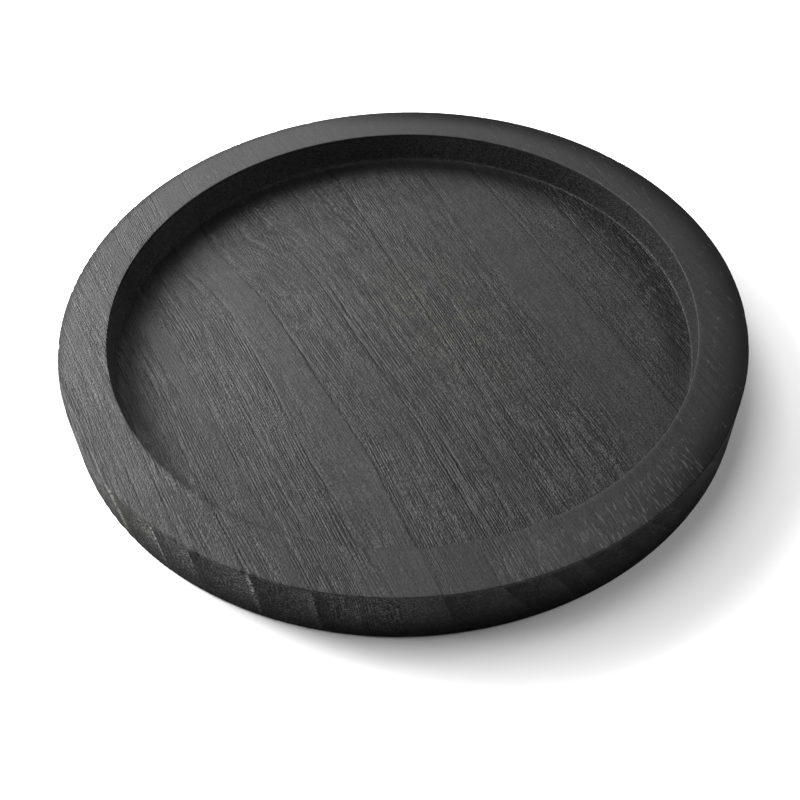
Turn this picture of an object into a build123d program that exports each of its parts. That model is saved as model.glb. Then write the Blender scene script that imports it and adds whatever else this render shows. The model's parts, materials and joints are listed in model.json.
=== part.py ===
from build123d import *
import os

# A round serving tray routed from one panel of edge-glued wooden staves.
# Millimetres, +Z up. The origin is the centre of the underside. The grain and the staves run along Y,
# and the staves lie side by side along X.

# Driving dimensions
TRAY_DIAMETER = 300.0
TRAY_HEIGHT = 28.0
RIM_WIDTH = 21.0
RECESS_DEPTH = 15.0
STAVE_WIDTH = 69.0
FIRST_JOINT = -79.5  # X of the leftmost glued joint; the others follow one stave width apart
STAVE_NAMES = ["left_edge_stave", "left_stave", "centre_stave", "right_stave", "right_edge_stave"]

# How far each edge is broken, measured along both of its faces
OUTER_ARRIS = 0.5
INNER_ARRIS = 0.4
FLOOR_COVE = 0.6
BOTTOM_ARRIS = 1.2

TRAY_RADIUS = TRAY_DIAMETER / 2
RECESS_RADIUS = TRAY_RADIUS - RIM_WIDTH
FLOOR_HEIGHT = TRAY_HEIGHT - RECESS_DEPTH


def half_section():
    """The tray's section from its axis to its outer edge, as a face in the XZ plane."""
    corners = [
        (0, 0),
        (TRAY_RADIUS - BOTTOM_ARRIS, 0),
        (TRAY_RADIUS, BOTTOM_ARRIS),
        (TRAY_RADIUS, TRAY_HEIGHT - OUTER_ARRIS),
        (TRAY_RADIUS - OUTER_ARRIS, TRAY_HEIGHT),
        (RECESS_RADIUS + INNER_ARRIS, TRAY_HEIGHT),
        (RECESS_RADIUS, TRAY_HEIGHT - INNER_ARRIS),
        (RECESS_RADIUS, FLOOR_HEIGHT + FLOOR_COVE),
        (RECESS_RADIUS - FLOOR_COVE, FLOOR_HEIGHT),
        (0, FLOOR_HEIGHT),
    ]
    with BuildSketch(Plane.XZ) as sketch:
        with BuildLine():
            Polyline(corners, close=True)
        make_face()
    return sketch.sketch


def stave(whole_tray, left, right):
    """The stretch of the tray between two straight glued joints at X = left and X = right."""
    from_left = (Align.MIN, Align.CENTER, Align.CENTER)
    slab = Box(right - left, 2 * TRAY_DIAMETER, 2 * TRAY_HEIGHT, align=from_left)
    return whole_tray & slab.moved(Location((left, 0, TRAY_HEIGHT / 2)))


def main():
    os.makedirs("parts", exist_ok=True)
    whole_tray = revolve(half_section(), Axis.Z)
    joints = [FIRST_JOINT + i * STAVE_WIDTH for i in range(len(STAVE_NAMES) - 1)]
    edges = [-TRAY_DIAMETER, *joints, TRAY_DIAMETER]  # the end staves are cut off by the tray's round edge
    for name, left, right in zip(STAVE_NAMES, edges, edges[1:]):
        export_step(stave(whole_tray, left, right), f"parts/{name}.step")


main()
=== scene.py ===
import itertools
import json
import math
from collections import namedtuple
from types import SimpleNamespace

import bmesh
import bpy
import numpy as np
from mathutils import Matrix, Vector


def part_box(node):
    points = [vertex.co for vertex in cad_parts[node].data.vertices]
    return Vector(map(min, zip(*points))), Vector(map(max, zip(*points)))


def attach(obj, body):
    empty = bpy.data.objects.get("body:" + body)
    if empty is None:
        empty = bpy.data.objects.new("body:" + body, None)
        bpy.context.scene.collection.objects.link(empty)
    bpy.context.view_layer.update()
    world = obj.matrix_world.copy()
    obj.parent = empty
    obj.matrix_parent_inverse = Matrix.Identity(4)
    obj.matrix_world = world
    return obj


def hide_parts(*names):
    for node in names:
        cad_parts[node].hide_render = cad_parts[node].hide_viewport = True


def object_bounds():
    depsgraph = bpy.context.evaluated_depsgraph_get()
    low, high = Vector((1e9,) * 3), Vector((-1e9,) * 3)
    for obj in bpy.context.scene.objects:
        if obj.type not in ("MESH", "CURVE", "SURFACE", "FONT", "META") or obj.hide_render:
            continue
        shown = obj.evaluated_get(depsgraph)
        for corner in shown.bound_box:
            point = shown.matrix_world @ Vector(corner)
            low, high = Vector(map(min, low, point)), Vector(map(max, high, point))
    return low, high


# The looks of a round, black-stained, wire-brushed serving tray. The CAD model holds its true shape as five
# plain staves. Each stave is rebuilt here as one closed mesh, fine enough across the grain to carry the
# brushed ridges, the growth rings, softened edges and small nicks, and gets a procedural stained-wood
# material. The grain runs along Y, and the staves lie side by side along X. Shapes are in metres, in the CAD
# frame, and the wood's figure and its finish are worked out in millimetres.

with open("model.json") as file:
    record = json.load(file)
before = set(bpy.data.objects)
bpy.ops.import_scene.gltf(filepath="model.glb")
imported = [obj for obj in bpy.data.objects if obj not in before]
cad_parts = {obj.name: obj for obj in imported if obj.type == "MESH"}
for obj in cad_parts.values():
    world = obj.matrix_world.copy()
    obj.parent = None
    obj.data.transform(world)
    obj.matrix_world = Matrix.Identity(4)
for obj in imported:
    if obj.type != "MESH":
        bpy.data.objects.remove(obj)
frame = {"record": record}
cad_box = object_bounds()

MM = 0.001
BODY = "root"
STAVES = ["left_edge_stave", "left_stave", "centre_stave", "right_stave", "right_edge_stave"]

# Sizes of the tray, from the CAD model where it can give them
MOUNT_PLACES = {mount["name"]: mount["pos_m"] for mount in frame["record"]["mounts"]}
TRAY_RADIUS = min(cad_box[1].x - cad_box[0].x, cad_box[1].y - cad_box[0].y) / 2
TRAY_HEIGHT = cad_box[1].z
FLOOR_HEIGHT = MOUNT_PLACES["recess_floor"][2]
RIM_WIDTH = 21 * MM
RECESS_RADIUS = TRAY_RADIUS - RIM_WIDTH
OUTER_ARRIS = 0.5 * MM
INNER_ARRIS = 0.4 * MM
FLOOR_COVE = 0.6 * MM
BOTTOM_ARRIS = 1.2 * MM

# The same sizes in millimetres, the height above which a point is on the upper side, and X of the joints
RIM_TOP = TRAY_HEIGHT / MM
FLOOR_TOP = FLOOR_HEIGHT / MM
OUTER_WALL = TRAY_RADIUS / MM
RECESS_WALL = RECESS_RADIUS / MM
UPPER_SIDE = FLOOR_TOP - 2
JOINTS = [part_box(name)[0].x / MM for name in STAVES[1:]]

# Mesh fineness, and lengths too small to matter
COLUMN_WIDTH = 0.22 * MM
COLUMN_SAMPLES = 40001
TURN_PER_COLUMN = math.radians(0.5)
EDGE_STEPS = 4
OUTER_WALL_STEPS = 20
INNER_WALL_STEPS = 9
RIM_STEPS = 13
FLOOR_STEPS = 84
BOTTOM_STEPS = 40
WELD_DISTANCE = 1e-7
ROUNDING = 1e-9
LEAST_SQUARE = 1e-12

# Close to where a round wall meets the X axis, its upper and lower edges differ in radius by less than the
# stretch given here, so the columns are fanned out over that stretch to meet each edge.
OUTER_FAN = 20 * MM
INNER_FAN = RECESS_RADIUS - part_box("right_edge_stave")[0].x

# How deep the wire brush has cut, and the smaller unevenness of a hand-sanded surface
RIDGE_DEPTH = 0.20 * MM
RING_LINE_DEPTH = 0.10 * MM
JOINT_DEPTH = 0.07 * MM
JOINT_HALF_WIDTH = 0.3 * MM
WAVE_DEPTH = 0.10 * MM

# Small nicks in the top outer edge: the noise between which one opens, their greatest depth and their reach.
# At the right they have NICK_RIGHT_SHARE of that depth, and between NICK_SIDES, along X, NICK_LEFT_EXTRA is
# added.
NICK_OPENS = (0.66, 0.9)
NICK_DEPTH = 0.45 * MM
NICK_REACH = 0.9 * MM
NICK_RIGHT_SHARE = 0.35
NICK_LEFT_EXTRA = 0.65
NICK_SIDES = (20 * MM, -100 * MM)

# The share of the relief that the lowest part of the bottom edge has
FOOT_HEIGHT = 0.5 * MM
FOOT_RELIEF = 0.3

# ---- Sizes of the wood's figure, in millimetres ----

# A random pattern: its seed, and the size of one cell along each of its coordinates
Pattern = namedtuple("Pattern", "seed cell")
BROAD_WANDER = Pattern(11, (30, 60))
FINE_WANDER = Pattern(12, (9, 25))
COARSE_PATCHES = Pattern(13, (9, 26))
BROAD_DRIFT = Pattern(20, (6, 50))
FINE_DRIFT = Pattern(30, (1.9, 30))
WALL_DRIFT = Pattern(40, (1.7, 1.3))
WAVES = Pattern(41, (22, 35, 12))
NICKS = Pattern(42, (2.6, 3.4, 3))
WOOD_MOTTLE = Pattern(61, (26, 70))
STAIN_MOTTLE = Pattern(62, (17, 22, 20))
SOAKED_STREAK = Pattern(63, (6, 18))
RAGGED_LINE = Pattern(5000, (4.0,))
LATTICE = 64

# The brushed ridges: their spacing, how far they drift sideways, how far along the grain they run in each
# stave before they break off, and the noise between which they do
RIDGE_SPACING = 1.12
BROAD_DRIFTING = 1.6
FINE_DRIFTING = 0.35
WALL_DRIFTING = 0.5
RIDGE_LENGTHS = [16.0, 30.0, 20.0, 14.0, 9.0]
RIDGE_BREAKS = [Pattern(50 + number, (1.5, length, 2)) for number, length in enumerate(RIDGE_LENGTHS)]
RIDGE_BREAKING = (0.15, 0.6)

# The growth rings, from left to right. start is the X of the ring's left boundary at the recess floor,
# halfway along the grain, and lean is how far the boundary runs to the right per millimetre towards +Y.
# Ridges are brushed out coarse just right of a boundary, and fade to late. dark is how dark the boundary
# line is.
Ring = namedtuple("Ring", "start lean coarse late dark")
RINGS = [
    Ring(-160.0, -0.077, 0.90, 0.90, 0.0),
    Ring(-145.0, -0.077, 0.90, 0.50, 0.7),
    Ring(-136.4, -0.077, 0.45, 0.30, 0.7),
    Ring(-128.0, -0.077, 0.80, 0.50, 0.8),
    Ring(-112.3, -0.077, 0.80, 0.30, 0.8),
    Ring(-95.0, -0.072, 0.90, 1.00, 0.3),
    Ring(-79.5, -0.065, 1.00, 0.90, 0.0),
    Ring(-66.0, -0.040, 0.26, 0.22, 0.5),
    Ring(-47.0, -0.095, 0.95, 0.55, 0.9),
    Ring(-20.0, -0.085, 0.95, 0.65, 0.9),
    Ring(-2.0, -0.085, 0.90, 0.65, 0.7),
    Ring(15.0, -0.010, 0.80, 0.60, 0.8),
    Ring(31.0, -0.020, 0.70, 0.55, 0.4),
    Ring(48.0, -0.020, 0.60, 0.40, 0.4),
    Ring(58.5, -0.025, 0.15, 0.12, 0.0),
    Ring(84.0, -0.037, 0.40, 0.30, 0.6),
    Ring(107.0, -0.017, 0.75, 0.60, 0.5),
    Ring(127.5, -0.020, 0.60, 0.50, 0.0),
    Ring(140.0, -0.020, 0.60, 0.50, 0.5),
]
RING_STARTS = [ring.start for ring in RINGS]

# How far the boundaries wander sideways, and how ragged and how wide their lines are
BROAD_WANDER_REACH = 1.6
FINE_WANDER_REACH = 0.5
LINE_RAGGEDNESS = 0.8
LINE_HALF_WIDTH = 0.5

# The share of a ring over which it turns from coarse to late. Outside its rough patches a ring has
# PATCH_OUTSIDE of its coarseness, and inside them PATCH_EXTRA is added.
LATE_WOOD = (0.1, 0.8)
PATCH_EDGES = (0.3, 0.7)
PATCH_OUTSIDE = 0.65
PATCH_EXTRA = 0.55

# Values that change from place to place: the places, and the value at each
Profile = namedtuple("Profile", "places values")

# Towards -Y the boundaries right of the left stave stop leaning
SETTLING = Profile([-80.0, -40.0], [-200.0, -55.0])

# How far the boundaries shift to the left per unit of height: the left staves are nearly quarter-sawn, the
# right ones are nearly flat-sawn.
RING_SLANTS = Profile([-90.0, -60.0, -25.0, 60.0], [0.07, 0.10, 0.60, 0.84])

# Past BEND_START the grain on the left bends away to the left, round a knot that was cut away
BEND_START = 35.0
BEND_STOP = 88.0
BENDS = Profile([-105.0, -78.0, -52.0, -25.0, 10.0], [0.0004, 0.0026, 0.0050, 0.0016, 0.0])

# How much of its ridges and lines is left on the recess wall, and on the rim from left to right, and how
# much less towards the back of the rim. The walls begin RIM_EDGE under the top.
WALL_CALM = 0.25
CALM_WALL = (RECESS_WALL - 1, RECESS_WALL + 0.2)
RIM_CALM = Profile([-81, -78, -30, 10], [1.0, 0.65, 0.5, 0.3])
RIM_EDGE = 0.5
BACK_RIM_LOSS = 0.38
BACK_RIM = (-20, 50)

# ---- Tones of the finish and of the painted shade and light, with places in millimetres ----

# The directions, in the tray's plane, of its two sides that the finish and its painted shade and light
# change towards: the near side, where the tray faces the camera, and the back left
NEAR_SIDE = (math.cos(math.radians(248)), math.sin(math.radians(248)))
BACK_LEFT_SIDE = (math.cos(math.radians(128)), math.sin(math.radians(128)))

# Where each area of the tray is, and where it fades out
RIM_AREA = (RIM_TOP - 2, RIM_TOP - 1)
FLOOR_AREA = (FLOOR_TOP + 2, FLOOR_TOP + 1)
INNER_WALL_AREA = (RECESS_WALL - 1, RECESS_WALL - 0.3)
INNER_WALL_BACK = RECESS_WALL + 0.4
OUTER_WALL_BACK = OUTER_WALL - 2
FRONT_HALF = (40, -20)
RIGHT_SIDE = (0.0, 0.55)
BACK_LEFT = (-0.1, 0.5)

# A change of tone that fades in from start to stop
Fade = namedtuple("Fade", "amount start stop")

# The stain's tone before it is mottled, how much each mottling adds at most, and where it is darker; the
# darkening to the right is painted shade, for light that falls off away from the left
BASE_TONE = 0.85
WOOD_MOTTLING = 0.16
STAIN_MOTTLING = 0.14
PAINTED_SHADE_TO_RIGHT = Fade(0.12, -60, 60)
SOAKED_PLACE = -99.5
SOAKED_HALF_WIDTH = 5
SOAKED_DARKENING = 0.45
# A darker board along the grain by the right recess wall, darkened further as painted shade near that wall
DARK_AND_SHADED_FLOOR_STRIP = Fade(0.58, 106.5, 107.5)

# Painted shade at the foot of the recess, where its wall shades the floor, all round except at the near side
FOOT_SHADE_NEAR_END = (0.5, 0.1)
FOOT_SHADE_BACK_LEFT = (0.25, 0.62)
FOOT_PAINTED_SHADE = Profile([RECESS_WALL - 17, RECESS_WALL - 6, RECESS_WALL], [0, 0.89, 0.40])
# Painted shade in the cove where the recess wall meets the floor, at the back left
COVE_REACH = 0.9
COVE_PAINTED_SHADE = 0.3

# The wall of the recess: its tone, and how much paler it is at the back left, where the paleness is painted
# light standing in for light that reaches that side
INNER_WALL_TONE = 0.5
INNER_WALL_PAINTED_LIGHT = 2.0

# The outer wall: dark at its foot, as painted shade where it meets the floor, and at both ends, with painted
# shade at the right end, which faces away from the light; banded by the rings, paler in its front half by
# PALE_WALL, and dark along the glued joints
WALL_FOOT_PAINTED_SHADE = Fade(0.97, 22, 1)
FAR_LEFT_DARKENING = Fade(0.1, -132, -142)
# Painted shade on the right end of the outer wall, which faces away from the light
RIGHT_WALL_PAINTED_SHADE = Fade(0.5, 20, 80)
BAND_TONE = 0.2
BAND_RISE = 1.4
BAND_LINE = Profile([-104, -92, 25, 45], [3.0, 0.4, 0.0, 1.6])
BAND_LINE_PHASE = 0.96
BAND_LINE_HALF_WIDTH = 0.04
BAND_SHARES = Profile([-80, -78, -45, -30, 30, 60], [1.0, 0.2, 0.2, 0.5, 0.5, 0.6])
PALE_WALL = Profile([-130, -95, -85, -78, -60, -45, 20], [1.0, 1.1, 1.6, 2.0, 1.7, 0.5, 0.0])
JOINT_LINE_DARKENING = 0.6
JOINT_LINE_HALF_WIDTH = 0.4

# The rim: its outer edge away from the near side is matt and darkened with painted shade, and its right side
# is matt and painted darker, as shade away from the light
EDGE_REACH = 2.2
EDGE_NEAR_END = (0.5, -0.1)
EDGE_PAINTED_SHADE = 0.5
EDGE_MATTNESS = 0.6
# Painted shade on the rim: darker to the right, and most of all on the outer part of its right side
RIM_PAINTED_SHADE_TO_RIGHT = Fade(0.2, 20, 90)
OUTER_RIGHT_RIM_PAINTED_SHADE = Fade(0.92, RECESS_WALL + 5, OUTER_WALL - 2)
MATT_RIM = (RECESS_WALL + 9, OUTER_WALL)

# The mouth of the recess: matt, with painted shade, at the near left, and worn pale at the near right, where
# the paleness is also a painted highlight along that edge
MOUTH_REACH = 0.6
DULL_MOUTH_PAINTED_SHADE = 0.4
DULL_MOUTH_MATTNESS = 0.6
DULL_MOUTH_NEAR = (0.0, 0.6)
DULL_MOUTH_LEFT = (20, -10)
# The worn mouth at the near right also carries a painted highlight
WORN_AND_LIT_MOUTH_START = (-10, 20)
WORN_AND_LIT_MOUTH_STOP = (100, 60)
WORN_AND_LIT_MOUTH_FRONT = (-20, -60)

# How far the wear of the two walls' top edges reaches, all round
OUTER_WEAR_REACH = 0.9
INNER_WEAR_REACH = 0.8

# Pale flecks: how many there are everywhere, how many more beside a ring's dark line, and how many where
# fibres are torn, at the front of the rim, on its right side and on the right edge of the recess floor
FLECKS = 0.30
LINE_FLECKS = 0.12
LINE_FLECKS_PLACE = 1.3
LINE_FLECKS_HALF_WIDTH = 1.1
TORN_RIM_FLECKS = 0.56
TORN_RIM_LEFT = (-40, -15)
TORN_RIM_RIGHT = (88, 66)
TORN_RIM_FRONT = (-90, -105)
TORN_RIM_INNER = (RECESS_WALL + 2, RECESS_WALL + 7)
RIGHT_RIM_FLECKS = Fade(0.37, 60, 90)
RIGHT_FLOOR_FLECKS = Fade(0.49, 105, 108)

# Thin, brown-green stain: a patch on the recess floor, and the far left end of the outer wall
THIN_PATCH_PLACE = (20, 2)
THIN_PATCH_HALF_SIZE = (17, 36)
THIN_WALL = Fade(0.3, -126, -140)
THIN_WALL_FRONT = (10, -20)

# Sanded smooth: the rim right of the first joint, and the outer wall to the right. Pitted end grain: the
# outer wall at the left, most of all at the front, and the recess wall at the right
SANDED_RIM = Profile([-81, -78, -50, -5], [0.0, 0.25, 0.36, 0.52])
SANDED_WALL = Fade(0.4, -50, -20)
PITTED_WALL = Profile([-82, -77, -45, -20], [1.0, 0.35, 0.2, 0.0])
PITTED_BACK = 0.3
PITTED_FRONT = 0.7
PITTED_INNER_WALL = Fade(0.7, 30, 90)

# ---- Textures of the material ----

# A texture of the wood: cells per millimetre across the rings, along the grain and up, a shift that keeps
# the textures apart, and the noise's detail and roughness
Texture = namedtuple("Texture", "scale shift detail roughness")
STREAKS = Texture((0.7, 0.018, 0.7), (0.0, 0.0, 0.0), 3.0, 0.6)
THREADS = Texture((0.85, 0.034, 0.85), (7.0, 3.0, 1.0), 1.0, 0.5)
SCORES = Texture((1.45, 0.085, 1.45), (2.0, 9.0, 4.0), 0.0, 0.5)
SCORE_BREAKS = Texture((0.45, 0.11, 0.45), (12.0, 5.0, 8.0), 1.0, 0.5)
GRIT = Texture((1.6, 0.9, 1.6), (3.0, 2.0, 6.0), 1.0, 0.6)
LARGE_PORES = Texture((1.4, 0.75, 1.4), (8.0, 1.0, 3.0), 0.0, 0.5)
FLECK_LINES = Texture((1.3, 0.13, 1.3), (31.0, 17.0, 5.0), 0.0, 0.5)
FLECK_SPOTS = Texture((0.85, 0.13, 0.85), (4.0, 27.0, 9.0), 1.0, 0.6)
BROWN_PATCHES = Texture((0.11, 0.085, 0.11), (3.3, 1.7, 0.0), 2.0, 0.5)
PORE_SCALE = (0.75, 0.13, 0.75)
THREAD_WIDTH = 0.10
SCORE_WIDTH = 0.13
FLECK_WIDTH = 0.075

# How one value follows another: from low to high, it goes from at_low to at_high
Rule = namedtuple("Rule", "low high at_low at_high")
SCORES_LEFT = Rule(0.42, 0.58, 0.0, 1.0)
GRIT_IN_COARSE = Rule(0.1, 0.6, 0.55, 1.10)
GRIT_IN_COARSEST = Rule(0.75, 1.0, 1.0, 0.5)
GRIT_IN_PITTED = Rule(0.0, 1.0, 1.0, 2.5)
LINE_DOTS = Rule(0.38, 0.60, 0.45, 1.25)
PORE_SIZE = Rule(0.1, 0.9, 0.12, 0.32)
PORE_EDGE = Rule(0.0, 0.12, 0.0, 1.0)
FLECK_EDGE = Rule(-0.01, 0.08, 0.0, 1.0)
BRUSHED_IN_COARSE = Rule(0.0, 0.7, 0.35, 1.0)
BROWN_EDGE = Rule(0.47, 0.60, 0.0, 1.0)
BROWN_IN_GRIT = Rule(-0.05, 0.15, 0.0, 1.0)

# Taken off the brushed marks and the grooves, which centres them near zero before they are scaled
BRUSHED_CENTRE = 0.25
GROOVE_CENTRE = 0.35

# What each feature multiplies the tone by
STREAK_TONES = Rule(0.25, 0.75, 0.86, 1.14)
GRIT_TONES = Rule(-0.20, 0.20, 0.25, 1.85)
BRUSHED_TONES = Rule(-0.3, 0.8, 1.25, 0.35)
# Grooves are painted darker and the ridges between them paler: painted shade in the brushed creases and a
# painted highlight on the ridges, over the shading that the relief gives
GROOVE_SHADE_AND_RIDGE_HIGHLIGHT_TONES = Rule(-0.40, 0.65, 1.50, 0.35)
LINE_TONES = Rule(0.0, 1.0, 1.0, 0.10)
PORE_TONES = Rule(0.0, 1.0, 1.0, 0.35)

# What some features add to the tone
FLECK_PALENESS = 2.1
# The wear also holds a painted highlight along the mouth of the recess at the near right
WEAR_AND_HIGHLIGHT_PALENESS = 0.10
PITTED_PALENESS = 5.0

# Colours of the stain, its gloss, and how rough it is
STAIN_COLOUR = (0.0120, 0.0120, 0.0120, 1.0)
BROWN_STAIN_COLOUR = (0.0235, 0.0238, 0.0130, 1.0)
STAIN_GLOSS = 0.15
STREAK_ROUGHNESS = Rule(0.2, 0.8, 0.50, 0.60)
GROOVE_ROUGHNESS = 0.15
MATT_ROUGHNESS = 0.42

# Relief finer than the mesh: its depth, and how much of it each feature has
FINE_RELIEF = 0.12 * MM
GRIT_RELIEF = Rule(0.0, 0.7, 1.6, 2.2)
BRUSHED_RELIEF = 0.7
PORE_RELIEF = 0.6
LINE_RELIEF = 0.8
FLECK_RELIEF = 0.4

# ---- Camera and studio ----

# Where the camera stands, seen from the tray, and how it is turned away from the tray's centre
CAMERA_AZIMUTH = math.radians(-22)
CAMERA_ELEVATION = math.radians(45.513)
CAMERA_DISTANCE = 3.3437 * TRAY_RADIUS
CAMERA_YAW = math.radians(0.219)
CAMERA_PITCH = math.radians(-2.707)
CAMERA_ROLL = math.radians(-1.769)
LENS_PER_FRAME_WIDTH = 1.355
SENSOR_WIDTH = 36.0

# Softboxes: place as the camera's operator sees it (right, away, up), size in metres, and power in watts.
# The light comes mostly from the left and from behind, and falls off across the tray.
SOFTBOXES = [
    ("left_low_softbox", (-0.75, 0.10, 0.45), 0.6, 5.5),
    ("left_near_softbox", (-0.55, 0.25, 0.40), 0.4, 8.5),
    ("left_back_softbox", (-0.90, 0.60, 0.50), 0.6, 25.0),
    ("near_back_softbox", (-0.30, 0.70, 0.50), 0.5, 4.0),
    ("far_back_softbox", (0.00, 1.20, 0.70), 1.0, 6.0),
    ("overhead_softbox", (-0.20, 0.10, 0.80), 0.5, 4.5),
    ("right_fill_softbox", (1.20, 0.00, 1.00), 1.0, 7.0),
]

# The studio's floor, whose mottling is in cells per metre, and its backdrop
GROUND_HALF_SIZE = 4.0
GROUND_COLOUR = (0.86, 0.86, 0.86, 1)
GROUND_MOTTLE = Texture((9.0, 9.0, 9.0), (0.0, 0.0, 0.0), 2.0, 0.5)
GROUND_ROUGHNESS = Rule(0.3, 0.7, 0.85, 0.95)
BACKDROP_COLOUR = (0.9, 0.9, 0.9, 1)
BACKDROP_LIGHT = 0.15


# ---- Working out the figure ----


def noise(pattern, *coordinates, member=0):
    """Smooth random values between 0 and 1, a new one per cell. member is added to the pattern's seed."""
    lattice = np.random.default_rng(pattern.seed + member).random((LATTICE,) * len(coordinates))
    coordinates = [c / size for c, size in zip(coordinates, pattern.cell)]
    cells = [np.floor(c).astype(int) for c in coordinates]
    shares = [(c - cell) ** 2 * (3 - 2 * (c - cell)) for c, cell in zip(coordinates, cells)]
    total = np.zeros(np.broadcast(*coordinates).shape)
    for corner in itertools.product((0, 1), repeat=len(coordinates)):
        share = np.prod([s if c else 1 - s for c, s in zip(corner, shares)], axis=0)
        total += share * lattice[tuple((cell + c) % LATTICE for cell, c in zip(cells, corner))]
    return total


def smooth_step(low, high, value):
    """0 below low, 1 above high, and a smooth rise between them. It falls where low is above high."""
    t = np.clip((value - low) / (high - low), 0, 1)
    return t * t * (3 - 2 * t)


def faded(fade, place):
    """The fade's amount, as it comes in from its start to its stop."""
    return fade.amount * smooth_step(fade.start, fade.stop, place)


def bell(value, middle, half_width):
    """1 where the value is at its middle, and smoothly 0 away from it."""
    return np.exp(-(((value - middle) / half_width) ** 2))


def ring_places(x, y, z):
    """Where each point lies across the rings: its X, if the rings ran straight along the grain and up."""
    lean = np.interp(x, RING_STARTS, [ring.lean for ring in RINGS])
    wander = BROAD_WANDER_REACH * (noise(BROAD_WANDER, x, y) - 0.5)
    wander = wander + FINE_WANDER_REACH * (noise(FINE_WANDER, x, y) - 0.5)
    settled = np.maximum(y, np.interp(x, *SETTLING))
    bend = np.interp(x, *BENDS) * (np.clip(y, BEND_START, BEND_STOP) - BEND_START) ** 2
    return x - lean * settled + bend - wander + np.interp(x, *RING_SLANTS) * (z - FLOOR_TOP)


def ring_lines(across, along):
    """How dark the ragged boundary lines of the rings are."""
    lines = np.zeros_like(across)
    for ring in RINGS:
        ragged = LINE_RAGGEDNESS * noise(RAGGED_LINE, along, member=int(ring.start * 10))
        shape = bell(across - ring.start + ragged, LINE_RAGGEDNESS / 2, LINE_HALF_WIDTH)
        lines = np.maximum(lines, ring.dark * shape)
    return lines


def brushed_grooves(across, along, up, number):
    """The grooves that the wire brush left in a stave: 1 at the bottom of a groove and 0 on a ridge."""
    drift = BROAD_DRIFTING * noise(BROAD_DRIFT, across, along, member=number)
    drift = drift + FINE_DRIFTING * noise(FINE_DRIFT, across, along, member=number)
    drift = drift + WALL_DRIFTING * noise(WALL_DRIFT, across, up, member=number)
    ripple = 0.5 + 0.5 * np.cos(2 * math.pi * (across / RIDGE_SPACING + drift))
    return ripple * smooth_step(*RIDGE_BREAKING, noise(RIDGE_BREAKS[number], across, along, up))


def calmness(x, y, z):
    """How much of its ridges and lines each part of the tray keeps, from 0 to 1."""
    radius = np.hypot(x, y)
    wall = (radius > CALM_WALL[0]) & (radius < CALM_WALL[1]) & (z > UPPER_SIDE)
    calm = np.where(wall & (z < RIM_TOP - RIM_EDGE), WALL_CALM, 1.0)
    rim_calm = np.interp(x, *RIM_CALM) * (1 - BACK_RIM_LOSS * smooth_step(*BACK_RIM, y))
    return np.where(z > RIM_TOP - RIM_EDGE, rim_calm, calm)


def wood_figure(places, number):
    """The wood's own coordinates and figure at each point of a stave, as a dict of arrays."""
    x, y, z = np.moveaxis(places / MM, -1, 0)
    across = ring_places(x, y, z)
    start, _, coarse, late, _ = np.array(RINGS).T
    ring = np.clip(np.searchsorted(RING_STARTS, across, side="right") - 1, 0, len(RINGS) - 2)
    phase = np.clip((across - start[ring]) / (start[ring + 1] - start[ring]), 0, 1)
    coarse = coarse[ring] + (late[ring] - coarse[ring]) * smooth_step(*LATE_WOOD, phase)
    patch = smooth_step(*PATCH_EDGES, noise(COARSE_PATCHES, across, y, member=number))
    coarse = coarse * (PATCH_OUTSIDE + PATCH_EXTRA * patch)
    calm = calmness(x, y, z)
    return {
        "across": across,
        "along": y,
        "up": z,
        "phase": phase,
        "coarse": np.clip(coarse * calm, 0, 1),
        "line": ring_lines(across, y) * calm,
        "groove": brushed_grooves(across, y, z, number),
    }


# ---- Working out the tones ----


def side_share(x, y, side):
    """How far a point lies towards a side of the tray: 1 straight towards it, and -1 straight away."""
    return (x * side[0] + y * side[1]) / np.maximum(np.hypot(x, y), 1)


def tray_areas(places):
    """Where each point lies: its place in millimetres, and how far it belongs to each area, from 0 to 1."""
    x, y, z = np.moveaxis(places / MM, -1, 0)
    radius = np.hypot(x, y)
    area = SimpleNamespace(x=x, y=y, z=z, radius=radius)
    area.near = side_share(x, y, NEAR_SIDE)
    area.back_left = side_share(x, y, BACK_LEFT_SIDE)
    area.right_side = smooth_step(*RIGHT_SIDE, side_share(x, y, (1, 0)))
    area.front = smooth_step(*FRONT_HALF, y)
    upper = z > UPPER_SIDE
    area.rim = smooth_step(*RIM_AREA, z)
    area.floor = smooth_step(*FLOOR_AREA, z) * (radius < RECESS_WALL) * upper
    inner_wall = smooth_step(*INNER_WALL_AREA, radius) * (radius < INNER_WALL_BACK) * upper
    area.inner_wall = inner_wall * (1 - area.rim)
    area.outer_wall = (radius > OUTER_WALL_BACK) * (1 - area.rim)
    area.cove = bell(np.hypot(radius - RECESS_WALL, z - FLOOR_TOP), 0, COVE_REACH)
    area.back_left_cove = area.cove * smooth_step(*BACK_LEFT, area.back_left)
    area.edge = bell(radius, OUTER_WALL, EDGE_REACH) * smooth_step(*EDGE_NEAR_END, area.near)
    area.mouth = bell(np.hypot(radius - RECESS_WALL, z - RIM_TOP), 0, MOUTH_REACH)
    # The mouth at the near left is made matt and darkened with painted shade
    dull_mouth = area.mouth * smooth_step(*DULL_MOUTH_NEAR, area.near)
    area.dull_mouth = dull_mouth * smooth_step(*DULL_MOUTH_LEFT, x)
    return area


def wall_banding(area, phase):
    """How the rings change the tone of the outer wall: darker in a ring's early wood, paler in its late."""
    pale_line = np.interp(area.x, *BAND_LINE) * bell(phase, BAND_LINE_PHASE, BAND_LINE_HALF_WIDTH)
    banding = 1 + (BAND_TONE + BAND_RISE * phase + pale_line - 1) * np.interp(area.x, *BAND_SHARES)
    return banding * (1 + area.front * np.interp(area.x, *PALE_WALL))


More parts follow.
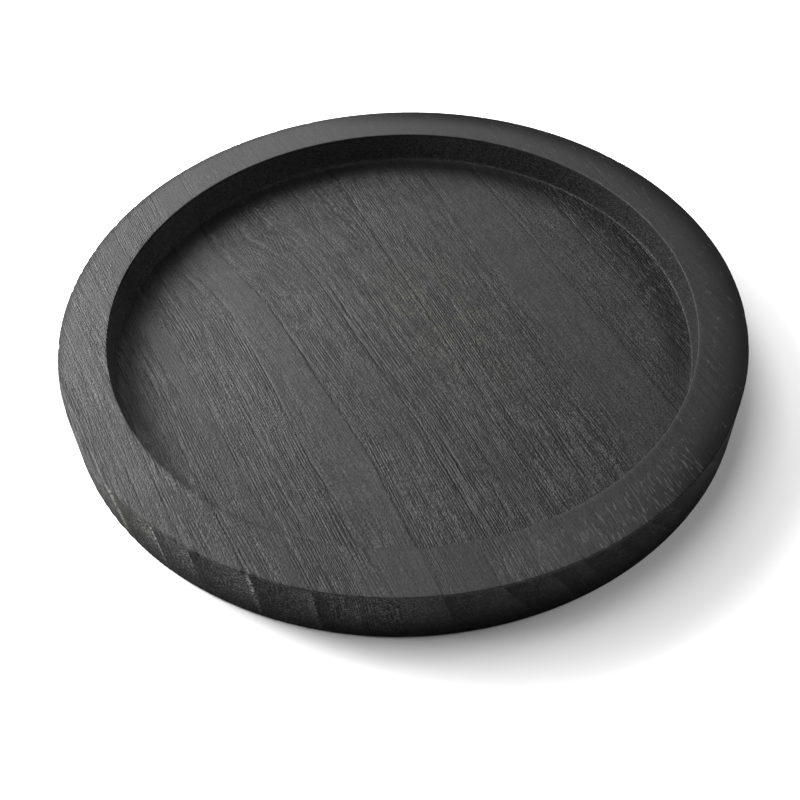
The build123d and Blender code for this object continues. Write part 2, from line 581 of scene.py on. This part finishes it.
def stain_and_painted_light_tone(area, figure):
    """The tone of the stain, with painted shade and painted light worked into it, from 0, black, through 1,
    its usual dark grey, to paler above 1.
    """
    x, y, z = area.x, area.y, area.z
    across, along = figure["across"], figure["along"]
    tone = BASE_TONE + WOOD_MOTTLING * noise(WOOD_MOTTLE, across, along)
    tone = tone + STAIN_MOTTLING * noise(STAIN_MOTTLE, x, y, z)
    # Painted shade: darker towards the right, away from the light
    tone = tone * (1 - faded(PAINTED_SHADE_TO_RIGHT, x))
    soaked = bell(across, SOAKED_PLACE, SOAKED_HALF_WIDTH) * noise(SOAKED_STREAK, across, along)
    tone = tone * (1 - SOAKED_DARKENING * soaked)
    # A darker board near the right wall, with painted shade added where the wall shades the floor
    tone = tone * (1 - area.floor * faded(DARK_AND_SHADED_FLOOR_STRIP, across))

    # Painted shade on the recess floor at the foot of its wall, except at the near side
    foot_shade_side = smooth_step(*FOOT_SHADE_NEAR_END, area.near)
    foot_shade_side = np.maximum(foot_shade_side, smooth_step(*FOOT_SHADE_BACK_LEFT, area.back_left))
    tone = tone * (1 - area.floor * foot_shade_side * np.interp(area.radius, *FOOT_PAINTED_SHADE))
    # Painted light: the recess wall is paler at the back left
    inner_wall_tone_and_light = INNER_WALL_TONE + INNER_WALL_PAINTED_LIGHT * smooth_step(*BACK_LEFT, area.back_left)
    tone = np.where(area.inner_wall > 0.5, tone * inner_wall_tone_and_light, tone)
    # Painted shade in the cove at the back left
    tone = tone * (1 - COVE_PAINTED_SHADE * area.back_left_cove)

    # Painted shade at the foot of the outer wall, near the floor
    tone = tone * (1 - area.outer_wall * faded(WALL_FOOT_PAINTED_SHADE, z))
    tone = tone * (1 - area.outer_wall * faded(FAR_LEFT_DARKENING, x))
    # Painted shade on the right end of the outer wall
    tone = tone * (1 - area.outer_wall * faded(RIGHT_WALL_PAINTED_SHADE, x))
    tone = np.where(area.outer_wall > 0.5, tone * wall_banding(area, figure["phase"]), tone)
    for joint in JOINTS:
        tone = tone * (1 - JOINT_LINE_DARKENING * area.outer_wall * bell(x, joint, JOINT_LINE_HALF_WIDTH))

    # Painted shade on the rim's outer edge, away from the near side
    tone = tone * (1 - EDGE_PAINTED_SHADE * area.edge)
    # Painted shade: the rim darker to the right, and darker still at the outer part of its right side
    tone = tone * (1 - area.rim * faded(RIM_PAINTED_SHADE_TO_RIGHT, x))
    tone = tone * (1 - area.rim * area.right_side * faded(OUTER_RIGHT_RIM_PAINTED_SHADE, area.radius))
    # Painted shade along the mouth of the recess at the near left
    return tone * (1 - DULL_MOUTH_PAINTED_SHADE * area.dull_mouth)


def matt_share(area):
    """How matt the finish is, from 0 to 1."""
    matt_rim = area.rim * area.right_side * smooth_step(*MATT_RIM, area.radius)
    shares = [area.outer_wall, EDGE_MATTNESS * area.edge, area.back_left_cove, matt_rim]
    return np.maximum.reduce([*shares, DULL_MOUTH_MATTNESS * area.dull_mouth])


def edge_wear_and_highlight(area):
    """How worn the finish is at the top edges of the two walls, and the painted highlight along the mouth of
    the recess at the near right.
    """
    from_top = area.z - RIM_TOP
    outer = bell(np.hypot(area.radius - OUTER_WALL, from_top), 0, OUTER_WEAR_REACH)
    inner = bell(np.hypot(area.radius - RECESS_WALL, from_top), 0, INNER_WEAR_REACH)
    # The paleness along the near right mouth is partly wear and partly a painted highlight
    mouth = area.mouth * smooth_step(*WORN_AND_LIT_MOUTH_START, area.x) * smooth_step(*WORN_AND_LIT_MOUTH_STOP, area.x)
    return np.maximum(outer, inner) + mouth * smooth_step(*WORN_AND_LIT_MOUTH_FRONT, area.y)


def fleck_share(area, across):
    """How many pale flecks there are."""
    x, y = area.x, area.y
    beside_line = np.zeros_like(x)
    for ring in RINGS:
        beside = bell(across - ring.start, LINE_FLECKS_PLACE, LINE_FLECKS_HALF_WIDTH)
        beside_line = np.maximum(beside_line, ring.dark * beside)
    torn_rim = area.rim * smooth_step(*TORN_RIM_LEFT, x) * smooth_step(*TORN_RIM_RIGHT, x)
    torn_rim = torn_rim * smooth_step(*TORN_RIM_FRONT, y)
    torn_rim = torn_rim * smooth_step(*TORN_RIM_INNER, area.radius)
    flecks = [FLECKS + LINE_FLECKS * beside_line, TORN_RIM_FLECKS * torn_rim]
    flecks.append(area.rim * faded(RIGHT_RIM_FLECKS, x))
    return np.maximum.reduce([*flecks, area.floor * faded(RIGHT_FLOOR_FLECKS, across)])


def thin_stain(area, figure):
    """Where the stain is thin enough for the brown-green wood to show."""
    patch = area.floor
    for place, middle, half_size in zip(("across", "along"), THIN_PATCH_PLACE, THIN_PATCH_HALF_SIZE):
        patch = patch * bell(figure[place], middle, half_size)
    wall = area.outer_wall * faded(THIN_WALL, area.x) * smooth_step(*THIN_WALL_FRONT, area.y)
    return np.maximum(patch, wall)


def surface_tones(places, figure):
    """All that the material needs to know about each point of a stave, as a dict of arrays."""
    area = tray_areas(places)
    sanded = area.rim * np.interp(area.x, *SANDED_RIM) + area.outer_wall * faded(SANDED_WALL, area.x)
    pitted = area.outer_wall * np.interp(area.x, *PITTED_WALL) * (PITTED_BACK + PITTED_FRONT * area.front)
    pitted = np.maximum(pitted, area.inner_wall * faded(PITTED_INNER_WALL, area.x))
    return {
        "stain": stain_and_painted_light_tone(area, figure),
        "wear": edge_wear_and_highlight(area),
        "fleck": fleck_share(area, figure["across"]),
        "thin": thin_stain(area, figure),
        "matt": matt_share(area),
        "sanded": sanded,
        "pitted": pitted,
        "coarse": figure["coarse"],
        "line": figure["line"],
        "groove": figure["groove"],
    }


# ---- Shape of a stave ----

# One edge line of the turned shape: its radius, its height, and its surface's direction
Edge = namedtuple("Edge", "radius height outward upward")


def rounded(radius, height, size, start, stop, hollow=False):
    """Edge lines round a quarter turn of the given size about a centre. start and stop are in degrees."""
    side = -1 if hollow else 1
    found = []
    for angle in np.radians(np.linspace(start, stop, EDGE_STEPS + 1)):
        c, s = math.cos(angle), math.sin(angle)
        found.append(Edge(radius + size * c, height + size * s, side * c, side * s))
    return found


def upright(radius, start, stop, outward, steps):
    """Edge lines up or down a plain wall, between the rounded edges at its two ends."""
    return [Edge(radius, height, outward, 0.0) for height in np.linspace(start, stop, steps + 1)[1:-1]]


def outer_edges():
    """The outer wall, from the underside to the top of the rim."""
    bottom = rounded(TRAY_RADIUS - BOTTOM_ARRIS, BOTTOM_ARRIS, BOTTOM_ARRIS, -90, 0)
    wall = upright(TRAY_RADIUS, BOTTOM_ARRIS, TRAY_HEIGHT - OUTER_ARRIS, 1.0, OUTER_WALL_STEPS)
    top = rounded(TRAY_RADIUS - OUTER_ARRIS, TRAY_HEIGHT - OUTER_ARRIS, OUTER_ARRIS, 0, 90)
    return bottom + wall + top


def inner_edges():
    """The wall of the recess, from the top of the rim down to the recess floor."""
    top = rounded(RECESS_RADIUS + INNER_ARRIS, TRAY_HEIGHT - INNER_ARRIS, INNER_ARRIS, 90, 180)
    mouth, foot = TRAY_HEIGHT - INNER_ARRIS, FLOOR_HEIGHT + FLOOR_COVE
    wall = upright(RECESS_RADIUS, mouth, foot, -1.0, INNER_WALL_STEPS)
    cove = rounded(RECESS_RADIUS - FLOOR_COVE, FLOOR_HEIGHT + FLOOR_COVE, FLOOR_COVE, 0, -90, hollow=True)
    return top + wall + cove


def column_places(left, right):
    """X of the mesh columns of a stave. They crowd together where a round wall runs nearly along X."""
    pins = [left, *[p for p in (-RECESS_RADIUS, RECESS_RADIUS) if left < p < right], right]
    found = [left]
    for start, stop in zip(pins, pins[1:]):
        x = np.linspace(start, stop, COLUMN_SAMPLES)[1:-1]
        density = np.full(x.shape, 1 / COLUMN_WIDTH)
        for radius in (RECESS_RADIUS, TRAY_RADIUS):
            turn = 1 / np.sqrt(np.maximum(radius**2 - x**2, LEAST_SQUARE)) / TURN_PER_COLUMN
            density = np.maximum(density, np.where(np.abs(x) < radius, turn, 0))
        total = np.cumsum(density)
        count = int(math.ceil((total[-1] - total[0]) * (x[1] - x[0])))
        found += list(np.interp(np.linspace(total[0], total[-1], count + 1)[1:-1], total, x))
        found.append(stop)
    return np.array(found)


def edge_line(edge, x, wall_radius, fan):
    """X and Y of an edge line at each column, on the +Y side."""
    size = np.abs(x)
    first = wall_radius - fan
    fanned = first + (size - first) * (edge.radius - first) / fan
    across = np.where(size > first, fanned, size)
    return np.sign(x) * across, np.sqrt(np.maximum(edge.radius**2 - across**2, 0))


def turned_row(edge, x, y):
    """Places and surface directions along an edge line of the turned shape."""
    radius = np.maximum(np.hypot(x, y), ROUNDING)
    place = np.stack([x, y, np.full_like(x, edge.height)], -1)
    direction = [edge.outward * x / radius, edge.outward * y / radius, np.full_like(x, edge.upward)]
    return place, np.stack(direction, -1)


def flat_row(x, y, height, upward):
    """Places and surface directions along a line of a flat face."""
    zero = np.zeros_like(x)
    return np.stack([x, y, zero + height], -1), np.stack([zero, zero, zero + upward], -1)


def stave_loops(x):
    """Points and surface directions of each column's outline, as two arrays [column, point, xyz].
    Also the first and the last point of each outline that belong to the recess."""
    ends = np.abs(x) > RECESS_RADIUS + ROUNDING
    outer = [(edge, *edge_line(edge, x, TRAY_RADIUS, OUTER_FAN)) for edge in outer_edges()]
    inner = [(edge, *edge_line(edge, x, RECESS_RADIUS, INNER_FAN)) for edge in inner_edges()]
    _, rim_x, rim_y = outer[-1]
    _, mouth_x, mouth_y = inner[0]

    # Past the recess the rim runs right across, and its two halves meet on the X axis
    start = RECESS_RADIUS + INNER_ARRIS
    reach = (np.abs(x) - RECESS_RADIUS) / RIM_WIDTH
    meeting_x = np.sign(x) * (start + reach * (TRAY_RADIUS - OUTER_ARRIS - start))
    mouth_x = np.where(ends, meeting_x, mouth_x)
    mouth_y = np.where(ends, 0, mouth_y)

    def half(side):
        rows = [turned_row(edge, edge_x, side * edge_y) for edge, edge_x, edge_y in outer]
        for share in np.linspace(0, 1, RIM_STEPS + 1)[1:-1]:
            row_y = side * (rim_y + share * (mouth_y - rim_y))
            rows.append(flat_row(rim_x + share * (mouth_x - rim_x), row_y, TRAY_HEIGHT, 1.0))
        meeting_place, meeting_direction = flat_row(mouth_x, side * mouth_y, TRAY_HEIGHT, 1.0)
        for edge, edge_x, edge_y in inner:
            place, direction = turned_row(edge, edge_x, side * edge_y)
            place[ends] = meeting_place[ends]
            direction[ends] = meeting_direction[ends]
            rows.append((place, direction))
        return rows

    north, south = half(1), half(-1)
    _, floor_x, floor_y = inner[-1]
    floor = []
    for share in np.linspace(1, -1, FLOOR_STEPS + 1)[1:-1]:
        place, direction = flat_row(floor_x, share * floor_y, FLOOR_HEIGHT, 1.0)
        place[ends] = north[-1][0][ends]
        floor.append((place, direction))
    _, base_x, base_y = outer[0]
    shares = np.linspace(-1, 1, BOTTOM_STEPS + 1)[1:-1]
    base = [flat_row(base_x, share * base_y, 0.0, -1.0) for share in shares]
    rows = north + floor + south[::-1] + base
    first = len(outer) + RIM_STEPS - 1
    last = first + 2 * len(inner) + len(floor) - 1
    places = np.stack([row[0] for row in rows], 1)
    directions = np.stack([row[1] for row in rows], 1)
    return places, directions, first, last


def relief(places, figure, left, right):
    """How far each point is worn or brushed in below the CAD surface, in metres."""
    x, y, z = np.moveaxis(places, -1, 0)
    radius = np.hypot(x, y)
    depth = RIDGE_DEPTH * figure["coarse"] * figure["groove"]
    depth = depth + RING_LINE_DEPTH * figure["line"]
    depth = depth + WAVE_DEPTH * noise(WAVES, x / MM, y / MM, z / MM)
    for joint in (left, right):
        if abs(joint) < TRAY_RADIUS - MM:
            depth = depth + JOINT_DEPTH * bell(x, joint, JOINT_HALF_WIDTH)
    from_edge = np.hypot(np.maximum(TRAY_RADIUS - radius, 0), TRAY_HEIGHT - z)
    nicks = smooth_step(*NICK_OPENS, noise(NICKS, x / MM, y / MM, z / MM))
    nick_depth = NICK_DEPTH * (NICK_RIGHT_SHARE + NICK_LEFT_EXTRA * smooth_step(*NICK_SIDES, x))
    depth = depth + nick_depth * nicks * bell(from_edge, 0, NICK_REACH)
    foot = (z < FOOT_HEIGHT) & (radius > TRAY_RADIUS - 2 * BOTTOM_ARRIS)
    return np.where(foot, FOOT_RELIEF * depth, depth)


def stave_faces(x, count, first, last, cut_left, cut_right):
    """The stave's faces: strips between its columns, and one flat face at each end that is glued."""
    index = np.arange(len(x) * count).reshape(len(x), count)
    following = np.roll(index, -1, axis=1)
    quads = np.stack([index[:-1], index[1:], following[1:], following[:-1]], -1)
    outside = np.abs(x) > RECESS_RADIUS + ROUNDING
    keep = np.ones(quads.shape[:2], bool)
    keep[outside[:-1] | outside[1:], first:last] = False
    faces = quads[keep].tolist()
    if cut_left:
        faces.append(index[0].tolist()[::-1])
    if cut_right:
        faces.append(index[-1].tolist())
    return faces


def store_on_points(mesh, figure, tones):
    """Keep the wood's coordinates and the tones as attributes of the mesh, for the material to read."""
    wood = np.stack([figure["across"], figure["along"], figure["up"]], -1)
    stored = mesh.attributes.new("wood", "FLOAT_VECTOR", "POINT")
    stored.data.foreach_set("vector", wood.astype(np.float32).ravel())
    for key, values in tones.items():
        values = np.ascontiguousarray(values, np.float32)
        mesh.attributes.new(key, "FLOAT", "POINT").data.foreach_set("value", values.ravel())


def clean_up(mesh):
    """Shade the strips smooth and the glued faces flat, and merge points that meet."""
    edit = bmesh.new()
    edit.from_mesh(mesh)
    for face in edit.faces:
        face.smooth = len(face.verts) <= 4
        if not face.smooth:
            for edge in face.edges:
                edge.smooth = False
    bmesh.ops.remove_doubles(edit, verts=edit.verts, dist=WELD_DISTANCE)
    loose = [point for point in edit.verts if not point.link_faces]
    bmesh.ops.delete(edit, geom=loose, context="VERTS")
    bmesh.ops.recalc_face_normals(edit, faces=edit.faces)
    edit.to_mesh(mesh)
    edit.free()


def build_stave(name, number):
    """One closed mesh for a stave, with the wood figure stored on its points."""
    low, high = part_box(name)
    cut_left, cut_right = number > 0, number < len(STAVES) - 1
    left = low.x if cut_left else -TRAY_RADIUS
    right = high.x if cut_right else TRAY_RADIUS
    x = column_places(left, right)
    places, directions, first, last = stave_loops(x)
    figure = wood_figure(places, number)

    # A glued face stays flat, so the relief doesn't move its outline sideways
    if cut_left:
        directions[0, :, 0] = 0
    if cut_right:
        directions[-1, :, 0] = 0
    places = places - directions * relief(places, figure, left, right)[..., None]

    mesh = bpy.data.meshes.new(name + "_brushed")
    faces = stave_faces(x, places.shape[1], first, last, cut_left, cut_right)
    mesh.from_pydata(places.reshape(-1, 3).tolist(), [], faces)
    store_on_points(mesh, figure, surface_tones(places, figure))
    clean_up(mesh)
    piece = bpy.data.objects.new(name + "_brushed", mesh)
    bpy.context.scene.collection.objects.link(piece)
    return piece


# ---- Material nodes ----


class Nodes:
    """A short way to write a material's node tree."""

    def __init__(self, material):
        material.use_nodes = True
        self.tree = material.node_tree
        self.tree.nodes.clear()

    def add(self, kind, inputs=None, **settings):
        node = self.tree.nodes.new("ShaderNode" + kind)
        for key, value in settings.items():
            setattr(node, key, value)
        for key, value in (inputs or {}).items():
            if isinstance(value, bpy.types.NodeSocket):
                self.tree.links.new(value, node.inputs[key])
            else:
                node.inputs[key].default_value = value
        return node

    def attribute(self, name, output="Fac"):
        return self.add("Attribute", attribute_name=name).outputs[output]

    def math(self, operation, a, b=0.0):
        return self.add("Math", {0: a, 1: b}, operation=operation).outputs[0]

    def multiply(self, first, *others):
        for other in others:
            first = self.math("MULTIPLY", first, other)
        return first

    def follow(self, value, rule):
        """value from low to high, turned smoothly into at_low to at_high, and held at both ends."""
        sockets = {"Value": value, "From Min": rule.low, "From Max": rule.high}
        sockets.update({"To Min": rule.at_low, "To Max": rule.at_high})
        return self.add("MapRange", sockets, interpolation_type="SMOOTHSTEP").outputs[0]

    def noise(self, vector, texture):
        sockets = {"Vector": vector, "Scale": texture.scale, "Location": texture.shift}
        scaled = self.add("Mapping", sockets).outputs[0]
        sockets = {"Vector": scaled, "Scale": 1.0, "Detail": texture.detail, "Roughness": texture.roughness}
        return self.add("TexNoise", sockets).outputs[0]

    def contours(self, value, width):
        """Thin lines where a noise passes its middle value: 1 on the line, and 0 from width away."""
        away = self.math("ABSOLUTE", self.math("SUBTRACT", value, 0.5))
        return self.follow(away, Rule(width, 0.0, 0.0, 1.0))

    def cell_distance(self, vector, scale):
        scaled = self.add("Mapping", {"Vector": vector, "Scale": scale}).outputs[0]
        return self.add("TexVoronoi", {"Vector": scaled, "Scale": 1.0}).outputs["Distance"]


def stained_wood():
    """Black-stained, wire-brushed open-grain wood. Its textures run in the wood's own coordinates, in
    millimetres: across the rings, along the grain, and up."""
    material = bpy.data.materials.new("black_stained_wood")
    n = Nodes(material)
    wood = n.attribute("wood", "Vector")
    coarse = n.attribute("coarse")
    pitted = n.attribute("pitted")
    unsanded = n.math("SUBTRACT", 1.0, n.attribute("sanded"))

    # Streaks of stain, long threads and shorter scores that the brush cut, and grit, all along the grain
    streaks = n.noise(wood, STREAKS)
    threads = n.contours(n.noise(wood, THREADS), THREAD_WIDTH)
    scores = n.contours(n.noise(wood, SCORES), SCORE_WIDTH)
    scores = n.multiply(scores, n.follow(n.noise(wood, SCORE_BREAKS), SCORES_LEFT))
    brushed = n.math("SUBTRACT", n.math("MAXIMUM", threads, scores), BRUSHED_CENTRE)
    brushed = n.multiply(brushed, n.multiply(unsanded, n.follow(coarse, BRUSHED_IN_COARSE)))
    grit = n.math("SUBTRACT", n.noise(wood, GRIT), 0.5)
    grit = n.multiply(grit, n.follow(coarse, GRIT_IN_COARSE), n.follow(coarse, GRIT_IN_COARSEST))
    grit = n.multiply(grit, n.follow(pitted, GRIT_IN_PITTED), unsanded)

    # Ring boundaries: rows of large pores
    line = n.multiply(n.attribute("line"), n.follow(n.noise(wood, LARGE_PORES), LINE_DOTS))

    # Open pores: short dark dashes, longer and closer together in coarse wood
    from_pore = n.cell_distance(wood, PORE_SCALE)
    pores = n.follow(n.math("SUBTRACT", n.follow(coarse, PORE_SIZE), from_pore), PORE_EDGE)
    pores = n.multiply(pores, unsanded)

    # Pale flecks: torn fibres that took less stain
    fleck_lines = n.contours(n.noise(wood, FLECK_LINES), FLECK_WIDTH)
    fleck_spots = n.math("ADD", n.noise(wood, FLECK_SPOTS), n.attribute("fleck"))
    flecks = n.multiply(fleck_lines, n.follow(n.math("SUBTRACT", fleck_spots, 1.0), FLECK_EDGE))

    # Tone: what darkens it, then what makes it paler
    grooves = n.multiply(n.math("SUBTRACT", n.attribute("groove"), GROOVE_CENTRE), coarse)
    # The stain's tone, with the painted shade and painted light worked into it
    tone = n.multiply(n.attribute("stain"), n.follow(streaks, STREAK_TONES))
    tone = n.multiply(tone, n.follow(grit, GRIT_TONES), n.follow(brushed, BRUSHED_TONES))
    # Painted shade in the brushed grooves and painted highlight on their ridges
    tone = n.multiply(tone, n.follow(grooves, GROOVE_SHADE_AND_RIDGE_HIGHLIGHT_TONES), n.follow(line, LINE_TONES))
    tone = n.multiply(tone, n.follow(pores, PORE_TONES))
    tone = n.math("ADD", tone, n.multiply(flecks, FLECK_PALENESS))
    # Edge wear, with a painted highlight along the near right mouth
    tone = n.math("ADD", tone, n.multiply(n.attribute("wear"), WEAR_AND_HIGHLIGHT_PALENESS))
    grains = n.multiply(n.math("MAXIMUM", grit, 0.0), n.multiply(pitted, PITTED_PALENESS))
    tone = n.math("ADD", tone, grains)

    # Colour: brown-green patches where the stain is thin, times the tone
    brown = n.multiply(n.follow(n.noise(wood, BROWN_PATCHES), BROWN_EDGE), n.attribute("thin"))
    brown = n.multiply(brown, n.follow(grit, BROWN_IN_GRIT))
    tint = n.add("Mix", {"Factor": brown}, data_type="RGBA")
    tint.inputs[6].default_value = STAIN_COLOUR
    tint.inputs[7].default_value = BROWN_STAIN_COLOUR
    colour = n.add("VectorMath", {0: tint.outputs[2], "Scale": tone}, operation="SCALE").outputs[0]

    # Sheen of the finish, and relief finer than the mesh
    rough = n.math("ADD", n.follow(streaks, STREAK_ROUGHNESS), n.multiply(grooves, GROOVE_ROUGHNESS))
    rough = n.math("ADD", rough, n.multiply(n.attribute("matt"), MATT_ROUGHNESS))
    height = n.multiply(grit, n.follow(coarse, GRIT_RELIEF))
    height = n.math("SUBTRACT", height, n.multiply(brushed, BRUSHED_RELIEF))
    height = n.math("SUBTRACT", height, n.multiply(pores, PORE_RELIEF))
    height = n.math("SUBTRACT", height, n.multiply(line, LINE_RELIEF))
    height = n.math("ADD", height, n.multiply(flecks, FLECK_RELIEF))
    bump = n.add("Bump", {"Height": height, "Strength": 1.0, "Distance": FINE_RELIEF}).outputs[0]
    sockets = {"Base Color": colour, "Roughness": rough, "Normal": bump, "Specular IOR Level": STAIN_GLOSS}
    shader = n.add("BsdfPrincipled", sockets, distribution="GGX")
    n.add("OutputMaterial", {"Surface": shader.outputs[0]})
    return material


def studio_white():
    """A matt white surface with a faint unevenness."""
    material = bpy.data.materials.new("studio_white")
    n = Nodes(material)
    place = n.add("TexCoord").outputs["Object"]
    rough = n.follow(n.noise(place, GROUND_MOTTLE), GROUND_ROUGHNESS)
    shader = n.add("BsdfPrincipled", {"Base Color": GROUND_COLOUR, "Roughness": rough})
    n.add("OutputMaterial", {"Surface": shader.outputs[0]})
    return material


# ---- Setting up the studio ----


def in_studio(right, away, up):
    """A point given as seen by the camera's operator, turned into the tray's frame."""
    return Matrix.Rotation(CAMERA_AZIMUTH, 3, "Z") @ Vector((right, away, up))


def make_camera():
    data = bpy.data.cameras.new("studio_camera")
    data.sensor_width = SENSOR_WIDTH
    data.lens = SENSOR_WIDTH * LENS_PER_FRAME_WIDTH
    camera = bpy.data.objects.new("studio_camera", data)
    bpy.context.scene.collection.objects.link(camera)
    back = in_studio(0, -math.cos(CAMERA_ELEVATION), math.sin(CAMERA_ELEVATION))
    look = (-back).to_track_quat("-Z", "Y").to_matrix().to_4x4()
    turn = Matrix.Rotation(CAMERA_YAW, 4, "Y") @ Matrix.Rotation(CAMERA_PITCH, 4, "X")
    turn = turn @ Matrix.Rotation(CAMERA_ROLL, 4, "Z")
    camera.matrix_world = Matrix.Translation(back * CAMERA_DISTANCE) @ look @ turn
    bpy.context.scene.camera = camera


def make_softbox(name, place, size, power):
    """A square area light, unseen by the camera and aimed at the middle of the tray's underside."""
    data = bpy.data.lights.new(name, "AREA")
    data.size = size
    data.energy = power
    lamp = bpy.data.objects.new(name, data)
    lamp.location = in_studio(*place)
    lamp.rotation_euler = (-lamp.location).to_track_quat("-Z", "Y").to_euler()
    lamp.visible_camera = False
    bpy.context.scene.collection.objects.link(lamp)


def make_ground():
    half = GROUND_HALF_SIZE
    mesh = bpy.data.meshes.new("studio_floor")
    corners = [(-half, -half, 0), (half, -half, 0), (half, half, 0), (-half, half, 0)]
    mesh.from_pydata(corners, [], [(0, 1, 2, 3)])
    mesh.materials.append(studio_white())
    ground = bpy.data.objects.new("studio_floor", mesh)
    bpy.context.scene.collection.objects.link(ground)


def make_backdrop():
    """A pale backdrop that the camera sees, but that adds hardly any light of its own."""
    world = bpy.data.worlds.new("studio_backdrop")
    world.use_nodes = True
    tree = world.node_tree
    tree.nodes.clear()
    seen = tree.nodes.new("ShaderNodeBackground")
    seen.inputs["Color"].default_value = BACKDROP_COLOUR
    lighting = tree.nodes.new("ShaderNodeBackground")
    lighting.inputs["Strength"].default_value = BACKDROP_LIGHT
    mix = tree.nodes.new("ShaderNodeMixShader")
    tree.links.new(tree.nodes.new("ShaderNodeLightPath").outputs["Is Camera Ray"], mix.inputs[0])
    tree.links.new(lighting.outputs[0], mix.inputs[1])
    tree.links.new(seen.outputs[0], mix.inputs[2])
    tree.links.new(mix.outputs[0], tree.nodes.new("ShaderNodeOutputWorld").inputs[0])
    bpy.context.scene.world = world


make_camera()
make_ground()
for softbox in SOFTBOXES:
    make_softbox(*softbox)
make_backdrop()
bpy.context.scene.view_settings.view_transform = "Standard"

finish = stained_wood()
for number, name in enumerate(STAVES):
    piece = build_stave(name, number)
    piece.data.materials.append(finish)
    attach(piece, BODY)
    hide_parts(name)
